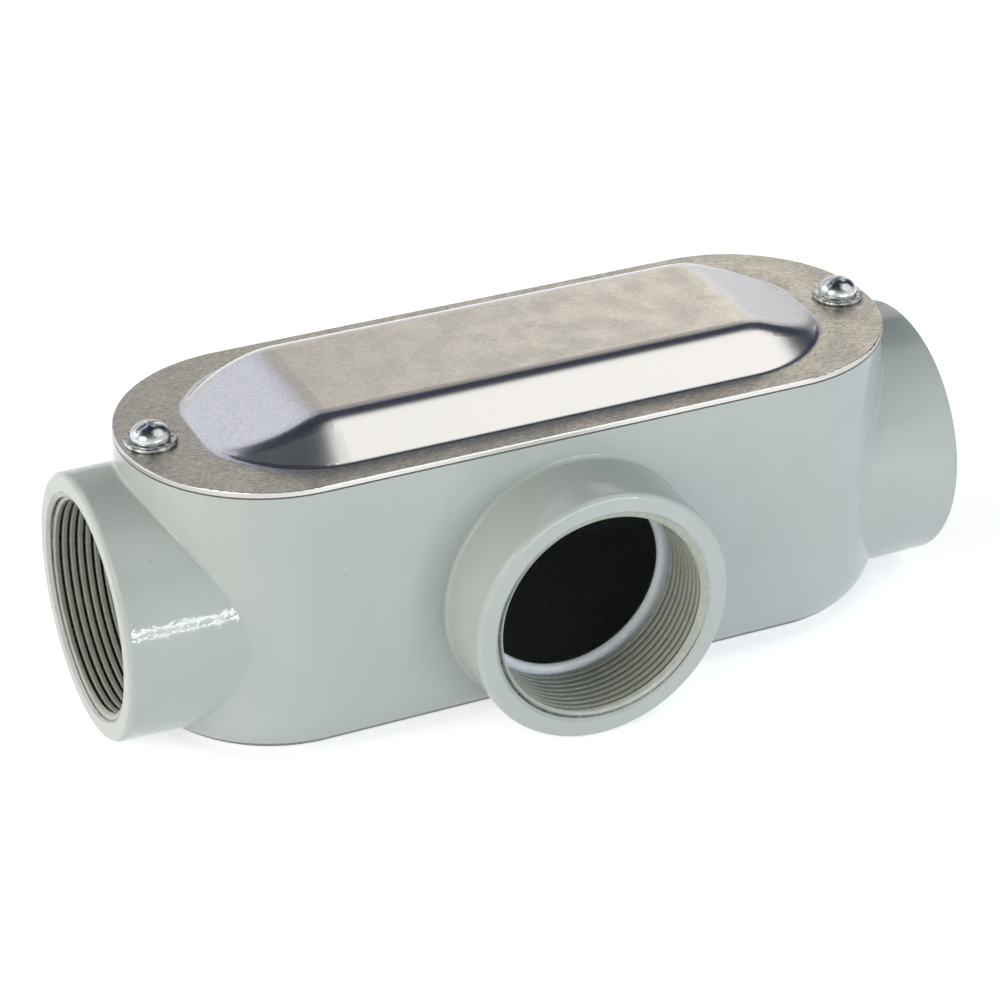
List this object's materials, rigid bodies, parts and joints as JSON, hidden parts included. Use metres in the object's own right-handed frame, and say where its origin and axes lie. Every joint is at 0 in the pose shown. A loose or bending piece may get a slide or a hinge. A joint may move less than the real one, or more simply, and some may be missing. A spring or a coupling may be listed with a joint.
{
  "type": "conduit body",
  "caption": "T-pattern conduit body: grey painted cast box with threaded hubs and a pressed metal cover held by screws",
  "frame": {"origin": "centre of the flat back face, midway between the end hubs", "axes": "+X along the run, +Z out through the cover, -Y out of the branch hub"},
  "size_m": [0.242, 0.1023, 0.0902],
  "materials": {
    "painted_casting": "light grey enamel on cast aluminium, semi-gloss",
    "gasket_rubber": "matt",
    "cover_aluminium": "bare rolled sheet, polished where it was pressed",
    "zinc_steel": "bright zinc plate"
  },
  "bodies": {
    "casting": {"body_casting": "painted_casting", "cover_gasket": "gasket_rubber"},
    "lid": {"cover": "cover_aluminium"},
    "left_washer": {"left_washer": "zinc_steel"},
    "right_washer": {"right_washer": "zinc_steel"},
    "left_screw": {"left_screw": "zinc_steel"},
    "right_screw": {"right_screw": "zinc_steel"}
  },
  "joints": [
    {"name": "cover_lift", "type": "slide", "parent": "casting", "child": "lid", "axis": [0, 0, 1], "range_m": [0, 0.04]},
    {"name": "left_screw_rise", "type": "slide", "parent": "lid", "child": "left_washer", "axis": [0, 0, 1], "range_m": [0, 0.0096]},
    {"name": "left_screw_turn", "type": "hinge", "parent": "left_washer", "child": "left_screw", "pos_m": [-0.1003, 0, 0.0823], "axis": [0, 0, 1], "range_deg": [0, 3267]},
    {"name": "right_screw_rise", "type": "slide", "parent": "lid", "child": "right_washer", "axis": [0, 0, 1], "range_m": [0, 0.0096]},
    {"name": "right_screw_turn", "type": "hinge", "parent": "right_washer", "child": "right_screw", "pos_m": [0.1003, 0, 0.0823], "axis": [0, 0, 1], "range_deg": [0, 3267]}
  ],
  "couplings": [
    {"joint": "left_screw_turn", "follows": "left_screw_rise", "rad_per_m": 5936.9},
    {"joint": "right_screw_turn", "follows": "right_screw_rise", "rad_per_m": 5936.9}
  ]
}
